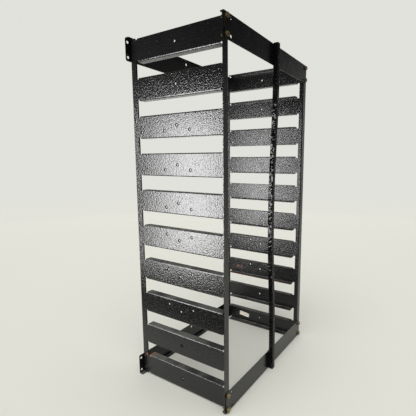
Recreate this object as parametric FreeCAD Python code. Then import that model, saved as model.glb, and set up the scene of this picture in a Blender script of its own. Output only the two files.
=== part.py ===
import FreeCAD, Part
import math
import os

# Newspaper rack: two slotted side panels of folded sheet steel, four folded
# rails that join them, and a bowed square bar down the middle of the front.
# Frame: millimetres, +Z up, +Y to the rear, -X to the left panel. The origin
# is the centre of the overall box, on the surface that the rack stands on.

# ---- sheet metal, for the panels and the rails
sheet = 1.2
bend_inside = 1.2

# ---- side panels
rack_width = 314.0      # over the outer faces of the two panels
panel_height = 680.0
panel_depth = 226.0     # front face of the front flange to rear face of the rear one
band_height = 42.5      # the top band, each slat and the bottom band
slot_count = 9
front_post = 10.0       # width of the panel left in front of the slots
rear_post = 14.0        # width left behind them
lip_width = 14.0        # folded inwards along both edges of every band
front_flange = 14.0     # folded outwards
rear_flange = 14.0      # folded inwards
relief_length = 5.0     # from the end of a lip to the post
relief_depth = 3.2      # how far that relief is cut into the band

# ---- small holes in the bands, for labels and tray stops
label_hole_radius = 2.0
side_hole_offset = 30.7     # from the middle of a slat, to the front and rear
side_hole_shift = 9.3       # from the middle of a slat, up or down
rear_hole_offset = 89.5
rear_hole_slats = (2, 3)

# ---- rails
rail_height = 41.0
rail_flange = 10.0      # depth of the horizontal flange, over the sheet
rail_end_land = 5.0     # from the outer holes to the end of the rail
corner_radius = 3.0

# ---- bolts and nuts
bolt_diameter = 5.0
hole_clearance = 0.3
across_flats = 8.0
crown_share = 0.95      # circle left by the chamfer, as a share of the flats
head_height = 3.5
nut_height = 4.0
tip_chamfer = 0.6
corner_bolt_length = 10.0
thread_clearance = 0.05     # radial, between a shank and the thread around it
seat_clearance = 0.6        # between a head or nut and the nearest fold

# ---- bar
bar_size = 10.0
bar_edge = 0.8          # rounding along the bar's four long edges
bar_bow = 7.0           # how far it bends into the rack, half way up
bar_skin = 1.5          # steel left in front of its blind holes
bar_hole_spare = 0.7    # depth of those holes beyond the bolts' ends

# ---- derived sizes
bend_outside = bend_inside + sheet
slot_height = (panel_height - (slot_count + 1) * band_height) / slot_count
pitch = band_height + slot_height
hole_radius = (bolt_diameter + hole_clearance) / 2
fold_to_hole = bend_inside + seat_clearance + across_flats / 2
row_inset = sheet + fold_to_hole
column_outer = rack_width / 2 + fold_to_hole
column_inner = rack_width / 2 - sheet - fold_to_hole
rail_length = 2 * (column_outer + rail_end_land)
bar_hole_depth = bar_size - bar_skin
bar_bolt_length = sheet + bar_hole_depth - bar_hole_spare

# ---- derived places
total_height = panel_height + 2 * sheet
total_depth = bar_size + sheet + panel_depth + sheet + head_height
front_y = -total_depth / 2 + bar_size + sheet
rear_y = front_y + panel_depth
middle_y = front_y + panel_depth / 2
slot_front = front_y + front_post
slot_rear = rear_y - rear_post
lip_front = slot_front + relief_length
lip_rear = slot_rear - relief_length
panel_bottom = sheet
panel_top = panel_bottom + panel_height
web_outer = -rack_width / 2
web_inner = web_outer + sheet
hole_rows = {
    "top": (total_height - row_inset, total_height - rail_height + row_inset),
    "bottom": (rail_height - row_inset, row_inset),
}


def vec(x, y, z):
    return FreeCAD.Vector(x, y, z)


def box(x0, x1, y0, y1, z0, z1):
    return Part.makeBox(x1 - x0, y1 - y0, z1 - z0, vec(x0, y0, z0))


def hole_along_y(radius, x, y, z, depth):
    return Part.makeCylinder(radius, depth, vec(x, y, z), vec(0, 1, 0))


def outline(*pieces):
    """Face bounded by straight pieces (start, end) and arcs (start, middle, end)."""
    edges = []
    for piece in pieces:
        if len(piece) == 3:
            edges.append(Part.Arc(*piece).toShape())
        elif piece[0].distanceToPoint(piece[1]) > 1e-6:
            edges.append(Part.LineSegment(*piece).toShape())
    return Part.Face(Part.Wire(edges))


# ------------------------------------------------------------ folded sheet

def fold_section(leg_a, leg_b):
    """L section in the XY plane with its outside corner at the origin. Leg a
    lies along +X and leg b along +Y, both measured over the sheet."""
    diagonal = math.sqrt(0.5)
    inner = bend_outside - bend_inside * diagonal
    outer = bend_outside - bend_outside * diagonal
    return outline(
        (vec(bend_outside, 0, 0), vec(leg_a, 0, 0)),
        (vec(leg_a, 0, 0), vec(leg_a, sheet, 0)),
        (vec(leg_a, sheet, 0), vec(bend_outside, sheet, 0)),
        (vec(bend_outside, sheet, 0), vec(inner, inner, 0), vec(sheet, bend_outside, 0)),
        (vec(sheet, bend_outside, 0), vec(sheet, leg_b, 0)),
        (vec(sheet, leg_b, 0), vec(0, leg_b, 0)),
        (vec(0, leg_b, 0), vec(0, bend_outside, 0)),
        (vec(0, bend_outside, 0), vec(outer, outer, 0), vec(bend_outside, 0, 0)))


def folded_strip(leg_a, leg_b, length, corner, along_a, along_b):
    """The L section with its outside corner at corner, its legs along the two
    given directions, extruded along their cross product."""
    along_strip = along_a.cross(along_b)
    strip = fold_section(leg_a, leg_b).extrude(vec(0, 0, length))
    strip.Placement = FreeCAD.Placement(FreeCAD.Matrix(
        along_a.x, along_b.x, along_strip.x, corner.x,
        along_a.y, along_b.y, along_strip.y, corner.y,
        along_a.z, along_b.z, along_strip.z, corner.z,
        0, 0, 0, 1))
    return strip


# ------------------------------------------------------------ side panels

def band_edges(index):
    """Lower and upper edge of a band. Band 0 is the top one, and the slats
    follow it downwards to the bottom band."""
    high = panel_top - index * pitch
    return high - band_height, high


def panel_cuts():
    """The slots, and for each band's edges the strip that its fold takes and
    the reliefs at the ends of its lips."""
    cuts = []
    for index in range(slot_count + 1):
        low, high = band_edges(index)
        if index < slot_count:
            cuts.append(box(web_outer, web_inner, slot_front, slot_rear, low - slot_height, low))
        for bottom, top in ((low, low + bend_outside), (high - bend_outside, high)):
            cuts.append(box(web_outer, web_inner, lip_front, lip_rear, bottom, top))
        for bottom, top in ((low, low + relief_depth), (high - relief_depth, high)):
            for y in (slot_front, lip_rear):
                cuts.append(box(web_outer, web_inner, y, y + relief_length, bottom, top))
    return cuts


def panel_lips():
    """The lips along the lower and upper edge of every band, with their folds."""
    lips = []
    length = lip_rear - lip_front
    inwards, up, down = vec(1, 0, 0), vec(0, 0, 1), vec(0, 0, -1)
    for index in range(slot_count + 1):
        low, high = band_edges(index)
        lips.append(folded_strip(bend_outside, lip_width, length,
                                 vec(web_outer, lip_front, low), up, inwards))
        lips.append(folded_strip(lip_width, bend_outside, length,
                                 vec(web_outer, lip_front, high), inwards, down))
    return lips


def panel_flanges():
    """Full-height flanges: outwards at the front, inwards at the rear. Both
    stop short of the rails' folds."""
    height = panel_height - 2 * bend_inside
    bottom = panel_bottom + bend_inside
    front = folded_strip(bend_outside, front_flange + sheet, height,
                         vec(web_inner, front_y, bottom), vec(0, 1, 0), vec(-1, 0, 0))
    rear = folded_strip(bend_outside, rear_flange, height,
                        vec(web_outer, rear_y, bottom), vec(0, -1, 0), vec(1, 0, 0))
    return [front, rear]


def label_holes():
    """A hole in the middle of every band, and a pair beside it on all slats but
    the first and last: low on the upper slats and high on the lower ones."""
    places = []
    for index in range(slot_count + 1):
        low, high = band_edges(index)
        middle = (low + high) / 2
        places.append((0, middle))
        if 2 <= index <= slot_count - 2:
            shift = -side_hole_shift if index < slot_count / 2 else side_hole_shift
            places.append((-side_hole_offset, middle + shift))
            places.append((side_hole_offset, middle + shift))
        if index in rear_hole_slats:
            places.append((rear_hole_offset, middle - side_hole_shift))
    return [Part.makeCylinder(label_hole_radius, sheet, vec(web_outer, middle_y + y, z), vec(1, 0, 0))
            for y, z in places]


def left_panel():
    web = box(web_outer, web_inner, front_y + bend_outside, rear_y - bend_outside,
              panel_bottom, panel_top)
    web = web.cut(panel_cuts())
    panel = web.fuse(panel_lips() + panel_flanges()).removeSplitter()
    holes = label_holes()
    for rows in hole_rows.values():
        for z in rows:
            holes.append(hole_along_y(hole_radius, -column_outer, front_y, z, sheet))
            holes.append(hole_along_y(hole_radius, -column_inner, rear_y - sheet, z, sheet))
    return panel.cut(holes)


def right_hand(shape):
    return shape.mirror(vec(0, 0, 0), vec(1, 0, 0))


# ------------------------------------------------------------ rails

def round_cornered(depth, thickness):
    """Plate as long as a rail. Its edge on the X axis is the fold, and the two
    corners of the opposite edge are round."""
    half = rail_length / 2
    start = depth - corner_radius
    side = half - corner_radius
    bulge = corner_radius * math.sqrt(0.5)
    return outline(
        (vec(-half, 0, 0), vec(half, 0, 0)),
        (vec(half, 0, 0), vec(half, start, 0)),
        (vec(half, start, 0), vec(side + bulge, start + bulge, 0), vec(side, depth, 0)),
        (vec(side, depth, 0), vec(-side, depth, 0)),
        (vec(-side, depth, 0), vec(-side - bulge, start + bulge, 0), vec(-half, start, 0)),
        (vec(-half, start, 0), vec(-half, 0, 0))).extrude(vec(0, 0, thickness))


def front_top_rail():
    """Web against the front of the panels' flanges, horizontal flange over their
    top edges. All four rails have the same holes: two columns at each end, one
    for outward flanges and one for inward ones, and a column in the middle."""
    web_front = front_y - sheet
    rail = folded_strip(rail_height, rail_flange, rail_length,
                        vec(-rail_length / 2, web_front, total_height),
                        vec(0, 0, -1), vec(0, 1, 0))
    web_limit = round_cornered(rail_height, rail_flange)
    web_limit.rotate(vec(0, 0, 0), vec(1, 0, 0), -90)
    web_limit.translate(vec(0, web_front, total_height))
    flange_limit = round_cornered(rail_flange, rail_height)
    flange_limit.translate(vec(0, web_front, total_height - rail_height))
    rail = rail.common(web_limit).common(flange_limit)
    return rail.cut([hole_along_y(hole_radius, x, web_front, z, sheet)
                     for z in hole_rows["top"]
                     for x in (-column_outer, -column_inner, 0, column_inner, column_outer)])


def turned_over(shape):
    """A top rail, turned over to make the bottom one."""
    return shape.mirror(vec(0, 0, total_height / 2), vec(0, 0, 1))


def turned_round(shape):
    """A front rail, turned round to make the rear one."""
    return shape.mirror(vec(0, middle_y, 0), vec(0, 1, 0))


# ------------------------------------------------------------ bar

def bowed_line(y):
    """Edges from the foot of the rack to its top that start and end at y, straight
    along the rails and curved smoothly between them."""
    span = total_height - 2 * rail_height
    shares = ((0, 0), (1 / 8, 1 / 8), (1 / 4, 1 / 2), (1 / 2, 1), (3 / 4, 1 / 2), (7 / 8, 1 / 8), (1, 0))
    at = [vec(0, y + bar_bow * inward, rail_height + span * up) for up, inward in shares]
    return [Part.makeLine(vec(0, y, 0), at[0]),
            Part.Arc(*at[0:3]).toShape(), Part.Arc(*at[2:5]).toShape(), Part.Arc(*at[4:7]).toShape(),
            Part.makeLine(at[6], vec(0, y, total_height))]


def centre_bar():
    """Square bar, flush with the rails' flanges at both ends, with a blind
    tapped hole behind it for each of its bolts."""
    back = front_y - sheet
    front = back - bar_size
    edges = bowed_line(back) + bowed_line(front)
    edges += [Part.makeLine(vec(0, front, z), vec(0, back, z)) for z in (0, total_height)]
    side = Part.Face(Part.Wire(Part.__sortEdges__(edges)))
    side.translate(vec(-bar_size / 2, 0, 0))
    bar = side.extrude(vec(bar_size, 0, 0))
    bar = bar.makeFillet(bar_edge, [edge for edge in bar.Edges if edge.Length > bar_size + 1])
    radius = bolt_diameter / 2 + thread_clearance
    return bar.cut([hole_along_y(radius, 0, back - bar_hole_depth, z, bar_hole_depth)
                    for rows in hole_rows.values() for z in rows])


# ------------------------------------------------------------ bolts and nuts

def hexagon(height):
    """Hexagonal prism along +Z with two flats facing X and a chamfered crown."""
    corner = across_flats / math.sqrt(3)
    crown = across_flats / 2 * crown_share
    drop = (corner - crown) * math.tan(math.radians(30))
    angles = [math.radians(60 * turn) for turn in range(7)]
    prism = Part.Face(Part.makePolygon(
        [vec(corner * math.sin(a), corner * math.cos(a), 0) for a in angles]))
    envelope = Part.makeCylinder(corner, height - drop).fuse(
        Part.makeCone(corner, crown, drop, vec(0, 0, height - drop)))
    return prism.extrude(vec(0, 0, height)).common(envelope)


def bolt(length):
    """Bolt with its head above the plane z = 0 and its shank below."""
    radius = bolt_diameter / 2
    shank = Part.makeCylinder(radius, length - tip_chamfer, vec(0, 0, tip_chamfer - length))
    tip = Part.makeCone(radius - tip_chamfer, radius, tip_chamfer, vec(0, 0, -length))
    return hexagon(head_height).fuse([shank, tip]).removeSplitter()


def nut():
    """Nut that sits on the plane z = 0 and faces +Z."""
    bore = Part.makeCylinder(bolt_diameter / 2 + thread_clearance, nut_height)
    return hexagon(nut_height).cut(bore)


def pair(shape, x, y, rows, direction):
    """One fastener on each row, its +Z turned to the rear (1) or the front (-1)."""
    placed = []
    for z in rows:
        copy = shape.copy()
        copy.rotate(vec(0, 0, 0), vec(1, 0, 0), -90 * direction)
        copy.translate(vec(x, y, z))
        placed.append(copy)
    return Part.makeCompound(placed)


# ------------------------------------------------------------ write the parts

os.makedirs("parts", exist_ok=True)


def save(node, shape):
    shape.exportStep("parts/" + node + ".step")
    print(node, "valid" if shape.isValid() else "NOT VALID", len(shape.Solids), round(shape.Volume, 1))


panel = left_panel()
save("side_panel_left", panel)
save("side_panel_right", right_hand(panel))

rail = front_top_rail()
save("front_top_rail", rail)
save("front_bottom_rail", turned_over(rail))
save("back_top_rail", turned_round(rail))
save("back_bottom_rail", turned_round(turned_over(rail)))
save("centre_bar", centre_bar())

corner_bolt = bolt(corner_bolt_length)
corner_nut = nut()
bar_bolt = bolt(bar_bolt_length)
bar_bolt.rotate(vec(0, 0, 0), vec(0, 0, 1), 30)
for level, rows in hole_rows.items():
    for side, sign in (("left", -1), ("right", 1)):
        corner = "%s_%s" % (level, side)
        outer, inner = sign * column_outer, sign * column_inner
        save("front_" + corner + "_bolts", pair(corner_bolt, outer, front_y - sheet, rows, -1))
        save("front_" + corner + "_nuts", pair(corner_nut, outer, front_y + sheet, rows, 1))
        save("back_" + corner + "_bolts", pair(corner_bolt, inner, rear_y + sheet, rows, 1))
        save("back_" + corner + "_nuts", pair(corner_nut, inner, rear_y - sheet, rows, -1))
    save("bar_" + level + "_bolts", pair(bar_bolt, 0, front_y, rows, 1))
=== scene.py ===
from math import pi, radians, tau

import bmesh
import bpy
from mathutils import Matrix, Vector


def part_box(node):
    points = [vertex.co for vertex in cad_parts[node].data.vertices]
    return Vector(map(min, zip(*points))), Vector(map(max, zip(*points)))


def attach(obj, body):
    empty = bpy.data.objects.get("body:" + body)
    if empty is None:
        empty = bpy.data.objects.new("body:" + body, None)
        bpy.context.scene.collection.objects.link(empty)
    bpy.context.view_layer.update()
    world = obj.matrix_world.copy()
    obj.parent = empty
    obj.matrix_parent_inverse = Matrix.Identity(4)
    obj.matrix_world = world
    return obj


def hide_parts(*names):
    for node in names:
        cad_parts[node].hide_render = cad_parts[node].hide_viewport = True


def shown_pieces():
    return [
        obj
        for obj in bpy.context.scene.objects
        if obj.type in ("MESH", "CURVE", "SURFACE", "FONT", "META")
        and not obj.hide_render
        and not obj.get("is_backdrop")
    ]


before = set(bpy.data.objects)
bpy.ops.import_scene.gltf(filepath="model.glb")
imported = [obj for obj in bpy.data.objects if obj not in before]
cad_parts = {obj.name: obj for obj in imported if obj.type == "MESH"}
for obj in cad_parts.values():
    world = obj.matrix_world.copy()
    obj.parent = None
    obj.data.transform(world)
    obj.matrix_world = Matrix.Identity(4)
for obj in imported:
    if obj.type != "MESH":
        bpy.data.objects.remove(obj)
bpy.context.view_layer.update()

# ------------------------------------------------------------ the side panels
# Each side is one folded sheet of 1.2 mm steel, cut into ten bands with a lip
# along both edges of each. They wear a heavy black powder coat that dried to a
# coarse orange peel; dust lies on the lips and rust starts on their cut edges.

lip_edge = 0.1430           # from the middle of the rack to the lips' cut edges
band_height = 0.0425
band_pitch = 0.0708333
top_band_head = 0.6812
rusted_band = 7             # counted down from the top band, which is 0
panel_low, panel_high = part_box("side_panel_left")
panel_middle = (panel_low.y + panel_high.y) / 2
pair_reach = 0.0307         # from a band's middle label hole to each of its pair
pair_step = 0.0093          # and how far the pair lies above or below it
rear_reach = 0.0895         # from the middle label hole back to the rear one
rim_inner, rim_outer = 0.0029, 0.0035
stain_along, stain_up = 0.068, 0.1615
rust_along, rust_up = 0.099, 0.0437
chipped_steel = (0.10, 0.075, 0.05)
scuffed = (0.12, 0.12, 0.11)
thin_coat = (0.004, 0.004, 0.004)


def layer(finish, kind, feeds=None, **settings):
    """One step of a finish. Feeds are the step's inputs: an output of an earlier
    step, or a plain value."""
    step = finish.nodes.new("ShaderNode" + kind)
    for name, value in settings.items():
        setattr(step, name, value)
    for socket, value in (feeds or {}).items():
        if isinstance(value, bpy.types.NodeSocket):
            finish.links.new(value, step.inputs[socket])
        else:
            step.inputs[socket].default_value = value
    return step


def maths(finish, operation, *values):
    return layer(finish, "Math", dict(enumerate(values)), operation=operation).outputs[0]


def times(finish, first, *others):
    """Masks laid on each other: strong only where each of them is."""
    for other in others:
        first = maths(finish, "MULTIPLY", first, other)
    return first


def rise(finish, value, low, high):
    """0 below low, 1 above high and smooth between, or the other way round."""
    return layer(finish, "MapRange", {0: value, 1: low, 2: high},
                 interpolation_type="SMOOTHSTEP").outputs[0]


def grain(finish, place, size, detail=2.0, rough=0.5, stretch=None):
    """A cloudy pattern whose marks are about size metres across."""
    if stretch is not None:
        place = layer(finish, "Mapping", {0: place, 3: stretch}).outputs[0]
    return layer(finish, "TexNoise", {"Vector": place, "Scale": 1 / size, "Detail": detail,
                                      "Roughness": rough}).outputs["Fac"]


def tint(finish, share, under, over):
    mix = layer(finish, "Mix", {"Factor": share}, data_type="RGBA")
    for socket, value in ((mix.inputs["A"], under), (mix.inputs["B"], over)):
        if isinstance(value, bpy.types.NodeSocket):
            finish.links.new(value, socket)
        else:
            socket.default_value = (*value, 1)
    return mix.outputs["Result"]


def relief(finish, depth, height, under=None):
    """Bumps depth metres deep from a pattern, over the bumps already under them."""
    feeds = {"Strength": 1.0, "Distance": depth, "Height": height}
    if under is not None:
        feeds["Normal"] = under
    return layer(finish, "Bump", feeds).outputs[0]


def facing(finish, axis):
    """How far the surface faces along an axis, from -1 to 1."""
    normal = layer(finish, "NewGeometry").outputs["Normal"]
    return layer(finish, "SeparateXYZ", {0: normal}).outputs[axis]


def face_up(finish):
    """1 on what lies flat and faces up, 0 on what stands."""
    return rise(finish, facing(finish, "Z"), 0.35, 0.95)


def new_finish(name):
    """A material, its tree, its shader, and the place on the piece."""
    made = bpy.data.materials.new(name)
    made.use_nodes = True
    finish = made.node_tree
    place = layer(finish, "TexCoord").outputs["Object"]
    return made, finish, finish.nodes["Principled BSDF"], place


def powder_coat(name, peel_size, peel_height, rough_low, rough_high, dust):
    """Black powder coat. Returns the material, its tree, its shader, the place on
    the piece, and the colour and roughness so far, for a piece to add wear to."""
    made, finish, shader, place = new_finish(name)
    cloud = grain(finish, place, 0.045, 4, 0.6)
    black = tint(finish, cloud, (0.0022, 0.0022, 0.0024), (0.0048, 0.0048, 0.0048))
    # dust settles on what faces up, and lies in patches there
    upward = face_up(finish)
    dusty = times(finish, upward, rise(finish, cloud, 0.3, 0.62), dust)
    colour = tint(finish, dusty, black, (0.064, 0.066, 0.057))
    motes = rise(finish, grain(finish, place, 0.0016, 2, 0.6), 0.735, 0.76)
    colour = tint(finish, times(finish, motes, 0.55), colour, (0.3, 0.3, 0.27))
    smooth = layer(finish, "MapRange", {0: grain(finish, place, 0.02, 3, 0.6), 1: 0.3, 2: 0.7,
                                        3: rough_low, 4: rough_high}).outputs[0]
    rough = maths(finish, "ADD", smooth, times(finish, upward, 0.42))
    # slow waves in the sheet, then the peel, then the fine skin on the peel
    sway = relief(finish, 0.0003, grain(finish, place, 0.11, 1, 0.4))
    peel = relief(finish, peel_height, grain(finish, place, peel_size, 1.2, 0.45), sway)
    skin = relief(finish, 0.00002, grain(finish, place, 0.0009, 2, 0.5), peel)
    finish.links.new(skin, shader.inputs["Normal"])
    return made, finish, shader, place, colour, rough


def worn(finish, shader, colour, rough, *wear):
    """Lay each wear, a mask with its colour and roughness, over a coat."""
    for mask, shade, roughness in wear:
        colour = tint(finish, mask, colour, shade)
        rough = layer(finish, "Mix", {0: mask, 2: rough, 3: roughness}).outputs[0]
    finish.links.new(colour, shader.inputs["Base Color"])
    finish.links.new(rough, shader.inputs["Roughness"])


def near(finish, value, middle, reach):
    """1 where a coordinate is within reach of middle, fading to 0 by twice that."""
    away = maths(finish, "ABSOLUTE", maths(finish, "SUBTRACT", value, middle))
    return rise(finish, away, reach * 2, reach)


def paint_over(node, coat):
    """Give a piece of the frame its own finish."""
    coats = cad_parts[node].data.materials
    coats.clear()
    coats.append(coat)


def label_hole_rims(finish, along, up):
    """1 in a narrow ring round each label hole, where the coat drew thin and dull.
    The holes repeat from band to band, a pair on six slats and a rear one on two."""
    top_middle = top_band_head - band_height / 2
    steps = maths(finish, "DIVIDE", maths(finish, "SUBTRACT", up, top_middle), band_pitch)
    band = maths(finish, "ROUND", steps)
    over = times(finish, maths(finish, "SUBTRACT", steps, band), band_pitch)
    back = maths(finish, "SUBTRACT", along, panel_middle)
    beside = maths(finish, "ABSOLUTE", back)

    def bands(first, last):
        """1 on the bands from first to last, counted down from the top one."""
        return times(finish, maths(finish, "LESS_THAN", band, 0.5 - first),
                     maths(finish, "GREATER_THAN", band, -0.5 - last))

    def rim(sideways, upwards):
        off_centre = layer(finish, "CombineXYZ", {0: sideways, 1: upwards}).outputs[0]
        away = layer(finish, "VectorMath", {0: off_centre}, operation="LENGTH").outputs["Value"]
        return rise(finish, away, rim_outer, rim_inner)

    # the pair lies low on the upper slats and high on the lower ones
    upper = maths(finish, "GREATER_THAN", band, -4.5)
    shift = layer(finish, "Mix", {0: upper, 2: -pair_step, 3: pair_step}).outputs[0]
    pair = rim(maths(finish, "SUBTRACT", beside, pair_reach), maths(finish, "ADD", over, shift))
    rear = rim(maths(finish, "SUBTRACT", back, rear_reach),
               maths(finish, "ADD", over, pair_step))
    rims = maths(finish, "MAXIMUM", rim(back, over), times(finish, pair, bands(2, 7)))
    return maths(finish, "MAXIMUM", rims, times(finish, rear, bands(2, 3)))


for side, name, peel_height, shine, gloss in (
        (-1, "side_panel_left", 0.00049, (0.08, 0.15), 0.5),
        (1, "side_panel_right", 0.00044, (0.17, 0.25), 0.57)):
    coat, finish, shader, place, colour, rough = powder_coat(
        name + "_coat", 0.0020, peel_height, *shine, 0.85)
    across, along, up = layer(finish, "SeparateXYZ", {0: place}).outputs
    outward = times(finish, across, side)
    rims = label_hole_rims(finish, along, up)
    # the rims and the dusty lips have lost their gloss
    dull = maths(finish, "MAXIMUM", rims, times(finish, face_up(finish), 0.7))
    shiny = times(finish, maths(finish, "SUBTRACT", 1.0, dull), gloss)
    finish.links.new(shiny, shader.inputs["Specular IOR Level"])
    edge = rise(finish, outward, lip_edge + 0.0011, lip_edge + 0.0003)
    patchy = rise(finish, grain(finish, place, 0.03, 3, 0.6), 0.5, 0.62)
    broken = rise(finish, grain(finish, place, 0.004, 2, 0.6), 0.42, 0.6)
    scuffs = rise(finish, grain(finish, place, 0.0022, 3, 0.7, (0.15, 1.0, 1.0)), 0.70, 0.74)
    wear = [(times(finish, edge, patchy, broken), chipped_steel, 0.5),
            (rims, thin_coat, 0.7),
            (times(finish, scuffs, 0.35), scuffed, 0.45)]
    if side > 0:
        # a rusted lip edge on one band, and a stain above it
        lip = top_band_head - rusted_band * band_pitch - band_height
        line = times(finish, near(finish, up, lip + 0.0006, 0.0016),
                     rise(finish, outward, lip_edge + 0.004, lip_edge + 0.002),
                     rise(finish, grain(finish, place, 0.006, 3, 0.6), 0.25, 0.45))
        wear.append((line, (0.085, 0.02, 0.007), 0.75))
        stain = times(finish, near(finish, along, stain_along, 0.009),
                      near(finish, up, stain_up, 0.003),
                      rise(finish, grain(finish, place, 0.006, 3, 0.65), 0.42, 0.6), 0.6)
        wear.append((stain, (0.15, 0.05, 0.035), 0.6))
    else:
        # rust at the rear end of the bottom band's upper lip
        rust = times(finish, near(finish, along, rust_along, 0.006),
                     near(finish, up, rust_up, 0.002),
                     rise(finish, grain(finish, place, 0.005, 3, 0.65), 0.35, 0.55), 0.7)
        wear.append((rust, (0.12, 0.045, 0.028), 0.7))
    worn(finish, shader, colour, rough, *wear)
    paint_over(name, coat)

# ------------------------------------------------------------------ the rails
# Four equal pressings of the same sheet, bolted across the ends of the panels.
# Their coat went on thinner, so its peel is finer and flatter, and the ends that
# stick out past the panels are rubbed down to primer and rust at their corners.

rail_end = 0.1678           # from the middle of the rack

coat, finish, shader, place, colour, rough = powder_coat(
    "rail_coat", 0.0018, 0.00018, 0.13, 0.24, 0.8)
across = layer(finish, "SeparateXYZ", {0: place}).outputs["X"]
right_end = rise(finish, across, rail_end - 0.0038, rail_end - 0.0010)
left_end = rise(finish, across, 0.0009 - rail_end, 0.0001 - rail_end)
ends = maths(finish, "ADD", right_end, times(finish, left_end, 0.25))
rubbed_and_sheen = rise(finish, grain(finish, place, 0.007, 3, 0.65), 0.5, 0.62)
scratch = rise(finish, grain(finish, place, 0.0016, 3, 0.7, (0.12, 1.0, 1.0)), 0.715, 0.75)
specks = rise(finish, grain(finish, place, 0.0035, 3, 0.65), 0.70, 0.73)
worn(finish, shader, colour, rough,
     (times(finish, scratch, 0.4), scuffed, 0.4),
     (times(finish, specks, 0.6), (0.12, 0.05, 0.025), 0.6),
     (times(finish, ends, rubbed_and_sheen, 0.85), (0.13, 0.06, 0.03), 0.65))
for name in ("front_top_rail", "front_bottom_rail", "back_top_rail", "back_bottom_rail"):
    paint_over(name, coat)

# -------------------------------------------------------------- the centre bar
# A square bar, bowed inwards and bolted to the front rails, keeps the papers in.
# It was brushed with thick black enamel, which set in dimples and has gone dull
# in front, where the papers rub it. Pale streaks along it are painted reflection
# of the bowed bar, laid into its colour.

side_gloss, front_gloss = 0.29, 0.10

coat, finish, shader, place, colour, rough = powder_coat(
    "bar_enamel", 0.0060, 0.0012, 0.06, 0.13, 0.5)
# painted reflection: pale vertical streaks in the bar's colour stand in for the mottled sheen of
# the bowed bar
rubbed_and_sheen = rise(finish, grain(finish, place, 0.005, 3, 0.7, (1.0, 1.0, 0.35)), 0.66, 0.72)
worn(finish, shader, colour, rough, (times(finish, rubbed_and_sheen, 0.5), (0.11, 0.1, 0.085), 0.4))
front = rise(finish, facing(finish, "Y"), -0.4, -0.85)
gloss = layer(finish, "MapRange", {0: front, 3: side_gloss, 4: front_gloss}).outputs[0]
finish.links.new(gloss, shader.inputs["Specular IOR Level"])
paint_over("centre_bar", coat)

# ------------------------------------------------------------------- the bolts
# M5 hexagon bolts in yellow zinc, two in each corner and two at each end of
# the bar: a chamfered head on a washer face, and a rolled thread on the shank.

row_spacing = 0.027         # between the two bolts of a corner
across_flats = 0.008
across_corners = across_flats * 1.1547
head_height = 0.0035
head_dish = 0.00025         # the head is pressed in a little on top
dish_floor, dish_rim, head_top = 0.0024, 0.0028, 0.00365        # radii on top of it
head_chamfer = 0.00045
washer_face = 0.0003
face_radius = 0.0037        # of the round face that a head or a nut sits on
thread_pitch = 0.0008
thread_root = 0.00205
thread_crest = 0.00245
steps_a_turn = 20
shank_point = 0.0005        # the chamfer on the shank's end
zinc_rust = (0.12, 0.045, 0.018)


def zinc_plate(name, pale, deep, stain):
    made, finish, shader, place = new_finish(name)
    shader.inputs["Metallic"].default_value = 1.0
    bloom = grain(finish, place, 0.0028, 4, 0.65)
    colour = tint(finish, rise(finish, bloom, 0.35, 0.65), deep, pale)
    stained = rise(finish, grain(finish, place, 0.0045, 3, 0.6), 0.52, 0.64)
    colour = tint(finish, stained, colour, stain)
    rust = rise(finish, grain(finish, place, 0.0016, 4, 0.7), 0.585, 0.65)
    rough = maths(finish, "ADD", 0.26, times(finish, bloom, 0.3))
    worn(finish, shader, colour, rough, (rust, zinc_rust, 0.8))
    pitted = relief(finish, 0.00005, grain(finish, place, 0.0007, 3, 0.6))
    finish.links.new(pitted, shader.inputs["Normal"])
    return made


def turned(shape, outline, steps=48):
    """Turn an outline of radius and height once round the bolt's axis."""
    corners = [shape.verts.new((radius, 0, height)) for radius, height in outline]
    lines = [shape.edges.new(pair) for pair in zip(corners, corners[1:])]
    bmesh.ops.spin(shape, geom=corners + lines, cent=(0, 0, 0), axis=(0, 0, 1),
                   dvec=(0, 0, 0), angle=tau, steps=steps, use_merge=True,
                   use_normal_flip=False, use_duplicate=False)
    bmesh.ops.remove_doubles(shape, verts=shape.verts, dist=1e-6)


def six_flats(shape, start):
    """Mill six flats on a turned blank."""
    for turn in range(6):
        out = Matrix.Rotation(start + turn * tau / 6, 3, "Z") @ Vector((1, 0, 0))
        cut = bmesh.ops.bisect_plane(
            shape, geom=shape.verts[:] + shape.edges[:] + shape.faces[:], dist=1e-7,
            plane_co=out * across_flats / 2, plane_no=out, clear_outer=True)
        rim = [part for part in cut["geom_cut"] if isinstance(part, bmesh.types.BMEdge)]
        bmesh.ops.contextual_create(shape, geom=rim)


def thread(shape, low, high):
    """A rolled ridge wound up the shank, closed at its ends. Its outline is given in
    radius and in shares of the pitch."""
    sunk = thread_root - 0.0001
    ridge = [(sunk, -0.36), (sunk, 0.36), (thread_root, 0.34),
             (thread_crest, 0.08), (thread_crest, -0.08), (thread_root, -0.34)]
    corners = [shape.verts.new((radius, 0, low + thread_pitch * (0.5 + step)))
               for radius, step in ridge]
    face = shape.faces.new(corners)
    turns = (high - low) / thread_pitch - 1
    steps = int(turns * steps_a_turn)
    bmesh.ops.spin(shape, geom=[face] + face.edges[:] + corners, cent=(0, 0, 0),
                   axis=(0, 0, 1), dvec=(0, 0, thread_pitch * turns / steps),
                   angle=turns * tau, steps=steps, use_merge=False,
                   use_normal_flip=False, use_duplicate=False)
    open_edges = [edge for edge in shape.edges if edge.is_boundary]
    if open_edges:
        bmesh.ops.holes_fill(shape, edges=open_edges, sides=len(ridge) * 2)


def add_on(shape, other):
    """Put another mesh into a shape, and let the other go."""
    scrap = bpy.data.meshes.new("scrap")
    other.to_mesh(scrap)
    shape.from_mesh(scrap)
    bpy.data.meshes.remove(scrap)
    other.free()


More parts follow.
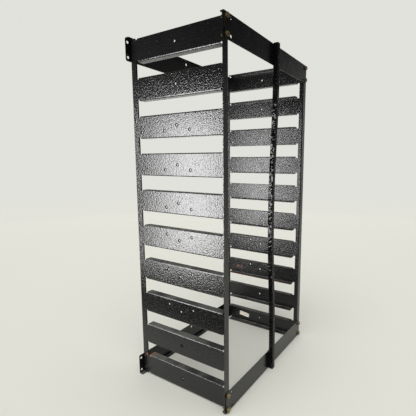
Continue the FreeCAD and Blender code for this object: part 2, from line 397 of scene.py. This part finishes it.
def bolt(length, start):
    """A bolt up its own +Z with its seat at 0, its first flat turned to start."""
    rim = across_corners / 2
    shape = bmesh.new()
    turned(shape, [(0, head_height - head_dish), (dish_floor, head_height - head_dish),
                   (dish_rim, head_height), (head_top, head_height),
                   (rim, head_height - head_chamfer), (rim, washer_face),
                   (face_radius + 0.0001, washer_face), (face_radius, 0), (0, 0)])
    six_flats(shape, start)
    shank = bmesh.new()
    turned(shank, [(0, 0.0002), (thread_root, 0.0002), (thread_root, shank_point - length),
                   (thread_root - shank_point, -length), (0, -length)], 24)
    thread(shank, 0.0003 - length, -0.0002)
    add_on(shape, shank)
    return shape


def made_up(name, shape, coat):
    """An object of one shape in one finish."""
    mesh = bpy.data.meshes.new(name)
    shape.to_mesh(mesh)
    mesh.materials.append(coat)
    piece = bpy.data.objects.new(name, mesh)
    bpy.context.scene.collection.objects.link(piece)
    return piece


def set_pair(node, one, plating, toward, seat):
    """Put two of a fastener in place of a node, one above the other, turned
    towards the rear (1) or the front (-1), with their seats at seat."""
    low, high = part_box(node)
    middle = (low + high) / 2
    bmesh.ops.recalc_face_normals(one, faces=one.faces)
    bmesh.ops.rotate(one, verts=one.verts, cent=(0, 0, 0),
                     matrix=Matrix.Rotation(-toward * tau / 4, 3, "X"))
    both = bmesh.new()
    for row in (-0.5, 0.5):
        copy = one.copy()
        bmesh.ops.translate(copy, verts=copy.verts,
                            vec=(middle.x, seat, middle.z + row * row_spacing))
        add_on(both, copy)
    piece = made_up(node + "_zinc", both, plating)
    piece.data.shade_smooth()
    piece.data.set_sharp_from_angle(angle=radians(28))
    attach(piece, "root")
    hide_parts(node)


def set_bolts(node, toward, start):
    low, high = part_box(node)
    seat = high.y - head_height if toward > 0 else low.y + head_height
    set_pair(node, bolt(high.y - low.y - head_height, start), bolt_zinc, toward, seat)


bolt_zinc = zinc_plate("bolt_zinc", (0.44, 0.36, 0.19), (0.15, 0.11, 0.05), (0.11, 0.095, 0.07))

for level in ("top", "bottom"):
    for side in ("left", "right"):
        for face, toward in (("front", -1), ("back", 1)):
            set_bolts("%s_%s_%s_bolts" % (face, level, side), toward, 0.0)
    set_bolts("bar_%s_bolts" % level, 1, tau / 12)

# -------------------------------------------------------------------- the nuts
# Plain M5 hexagon nuts in the same yellow zinc, one behind each corner bolt,
# chamfered on both faces.

nut_height = 0.004
nut_chamfer = 0.0005
bore = 0.00255
bore_chamfer = 0.0003


def nut():
    rim = across_corners / 2
    shape = bmesh.new()
    turned(shape, [(bore, bore_chamfer), (bore + bore_chamfer, 0), (face_radius, 0),
                   (rim, nut_chamfer), (rim, nut_height - nut_chamfer),
                   (face_radius, nut_height), (bore + bore_chamfer, nut_height),
                   (bore, nut_height - bore_chamfer), (bore, bore_chamfer)])
    six_flats(shape, 0.0)
    return shape


nut_zinc = zinc_plate("nut_zinc", (0.13, 0.10, 0.055), (0.06, 0.045, 0.025), (0.05, 0.045, 0.04))

for level in ("top", "bottom"):
    for side in ("left", "right"):
        for face, toward in (("front", 1), ("back", -1)):
            node = "%s_%s_%s_nuts" % (face, level, side)
            low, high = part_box(node)
            set_pair(node, nut(), nut_zinc, toward, low.y if toward > 0 else high.y)

# ------------------------------------------------------------------- the label
# A small blank paper label, once white, stuck a little crooked on the inside
# of the right panel's bottom band. Its corners are round and one has lifted.

label_length, label_height, label_thick = 0.031, 0.0115, 0.00018
label_along, label_up, label_tilt = 0.0525, 0.0215, radians(6)
label_corner = 0.0018
panel_inside = 0.1558       # from the middle of the rack to the panel's inner face
strip = 0.0022              # the label bends at every strip of its length
curl, flat_part, slant = 0.014, 0.55, 1.3

paper, finish, shader, place = new_finish("label_paper")
colour = tint(finish, grain(finish, place, 0.006, 3, 0.6), (0.72, 0.70, 0.60), (0.56, 0.53, 0.42))
fibre = grain(finish, place, 0.0005, 3, 0.7)
grime = rise(finish, grain(finish, place, 0.0035, 4, 0.65), 0.55, 0.68)
worn(finish, shader, colour, maths(finish, "ADD", 0.6, times(finish, fibre, 0.2)),
     (times(finish, grime, 0.6), (0.24, 0.18, 0.11), 0.85))
finish.links.new(relief(finish, 0.00003, fibre), shader.inputs["Normal"])

shape = bmesh.new()
bmesh.ops.create_grid(shape, x_segments=1, y_segments=1, size=0.5)
bmesh.ops.scale(shape, verts=shape.verts, vec=(label_length, label_height, 1))
bmesh.ops.bevel(shape, geom=shape.verts[:], offset=label_corner, segments=5, profile=0.5,
                affect="VERTICES", material=-1)
sheet = bmesh.ops.extrude_face_region(shape, geom=shape.faces[:])
upper_face = [part for part in sheet["geom"] if isinstance(part, bmesh.types.BMVert)]
bmesh.ops.translate(shape, verts=upper_face, vec=(0, 0, label_thick))
for cut in range(-6, 7):
    bmesh.ops.bisect_plane(shape, geom=shape.verts[:] + shape.edges[:] + shape.faces[:],
                           dist=1e-7, plane_co=(cut * strip, 0, 0), plane_no=(1, 0, 0))
for corner in shape.verts:
    lifted = max(0.0, (corner.co.x + corner.co.y * slant) / label_length - flat_part)
    corner.co.z += curl * lifted ** 2
bmesh.ops.rotate(shape, verts=shape.verts, cent=(0, 0, 0),
                 matrix=Matrix.Rotation(label_tilt, 3, "Z"))
# its face turns from +Z to the inside of the rack, its length along the band
bmesh.ops.transform(shape, verts=shape.verts,
                    matrix=Matrix(((0, 0, -1, panel_inside), (1, 0, 0, label_along),
                                   (0, 1, 0, label_up), (0, 0, 0, 1))))
bmesh.ops.recalc_face_normals(shape, faces=shape.faces)
label = made_up("blank_label", shape, paper)
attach(label, "root")

# --------------------------------------------------------- floor, light, camera
# A plain pale floor under a pale studio. One tall softbox stands at the left
# and lights the rack alone; a wide soft light hangs overhead.

backdrop_colour = (0.75, 0.757, 0.71, 1)
floor_colour = (0.77, 0.767, 0.69)

made, finish, shader, place = new_finish("studio_floor")
shader.inputs["Roughness"].default_value = 0.55
shader.inputs["Emission Color"].default_value = backdrop_colour
# far off, the floor fades into the backdrop
distance = layer(finish, "VectorMath", {0: place}, operation="LENGTH").outputs["Value"]
faded = rise(finish, distance, 0.9, 5.0)
finish.links.new(tint(finish, faded, floor_colour, (0, 0, 0)), shader.inputs["Base Color"])
sheen = times(finish, rise(finish, distance, 2.6, 0.9), 0.5)
finish.links.new(sheen, shader.inputs["Specular IOR Level"])
seen = layer(finish, "LightPath").outputs["Is Camera Ray"]
glow = layer(finish, "MapRange", {0: seen, 3: 0.45, 4: 1.0}).outputs[0]
finish.links.new(times(finish, faded, glow), shader.inputs["Emission Strength"])

shape = bmesh.new()
bmesh.ops.create_circle(shape, cap_ends=True, segments=128, radius=7.0)
made_up("studio_floor", shape, made)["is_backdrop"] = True

studio = bpy.data.worlds.new("studio")
bpy.context.scene.world = studio
studio.use_nodes = True
finish = studio.node_tree
backdrop = finish.nodes["Background"]
backdrop.inputs["Color"].default_value = backdrop_colour
# the rack mirrors a dim room: pale walls low down, brightest behind and to the right
east, north, skyward = layer(
    finish, "SeparateXYZ", {0: layer(finish, "TexCoord").outputs["Object"]}).outputs
behind = maths(finish, "ADD", times(finish, east, 0.8), times(finish, north, 0.6))
behind = rise(finish, behind, 0.43, 0.92)
wall_top = layer(finish, "MapRange", {0: behind, 3: 0.38, 4: 0.75}).outputs[0]
low_walls = tint(finish, behind, (0.42, 0.42, 0.41), (1.5, 1.5, 1.46))
walls = tint(finish, rise(finish, skyward, wall_top, 0.02), (0.04, 0.04, 0.04), low_walls)
room = layer(finish, "Background", {"Color": walls}).outputs[0]
seen = layer(finish, "LightPath").outputs["Is Camera Ray"]
mixed = layer(finish, "MixShader", {0: seen, 1: room, 2: backdrop.outputs[0]})
finish.links.new(mixed.outputs[0], finish.nodes["World Output"].inputs["Surface"])

rack_only = bpy.data.collections.new("lit_by_the_softbox")
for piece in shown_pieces():
    # zinc would only burn out in it
    if not piece.name.endswith("_zinc"):
        rack_only.objects.link(piece)

softbox_radiance = 16.5
lamp = bpy.data.lights.new("left_softbox", "AREA")
lamp.shape = "RECTANGLE"
lamp.size, lamp.size_y = 0.281, 0.484
lamp.energy = softbox_radiance * pi * lamp.size * lamp.size_y
softbox = bpy.data.objects.new("left_softbox", lamp)
softbox.location = (-0.507, 0.2755, 0.372)
softbox.rotation_euler = Vector((1, 0, 0)).to_track_quat("-Z", "Y").to_euler()
softbox.visible_camera = False
softbox.light_linking.receiver_collection = rack_only
bpy.context.scene.collection.objects.link(softbox)

# a black card on the floor by the softbox keeps the lower slats dark
card_height, card_length = 0.100, 1.1
made, _, shader, _ = new_finish("black_card")
shader.inputs["Base Color"].default_value = (0.003, 0.003, 0.003, 1)
shader.inputs["Roughness"].default_value = 1.0
shape = bmesh.new()
bmesh.ops.create_grid(shape, x_segments=1, y_segments=1, size=0.5)
bmesh.ops.scale(shape, verts=shape.verts, vec=(card_height, card_length, 1))
bmesh.ops.rotate(shape, verts=shape.verts, cent=(0, 0, 0),
                 matrix=Matrix.Rotation(tau / 4, 3, "Y"))
bmesh.ops.translate(shape, verts=shape.verts, vec=(-0.36, 0.15, card_height / 2))
card = made_up("black_card", shape, made)
card.visible_camera = card.visible_diffuse = card.visible_shadow = False
card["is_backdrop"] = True

sky = bpy.data.lights.new("overhead", "SUN")
sky.energy = 3.0
sky.angle = radians(75)
overhead = bpy.data.objects.new("overhead", sky)
overhead.location = (-0.9, -0.6, 3)
overhead.rotation_euler = (-overhead.location).to_track_quat("-Z", "Y").to_euler()
bpy.context.scene.collection.objects.link(overhead)

camera = bpy.data.objects.new("camera", bpy.data.cameras.new("camera"))
camera.data.sensor_width = 36.0
camera.data.lens = 28.463
camera.data.shift_x = -0.1004
camera.data.shift_y = 0.0090
camera.location = (-0.60767, panel_low.y - 0.31243, 0.44887)
camera.rotation_euler = [radians(angle) for angle in (81.819, -0.345, -58.937)]
bpy.context.scene.collection.objects.link(camera)
bpy.context.scene.camera = camera
bpy.context.scene.view_settings.view_transform = "Standard"
bpy.context.scene.cycles.denoising_prefilter = "NONE"      # the peel is as fine as noise
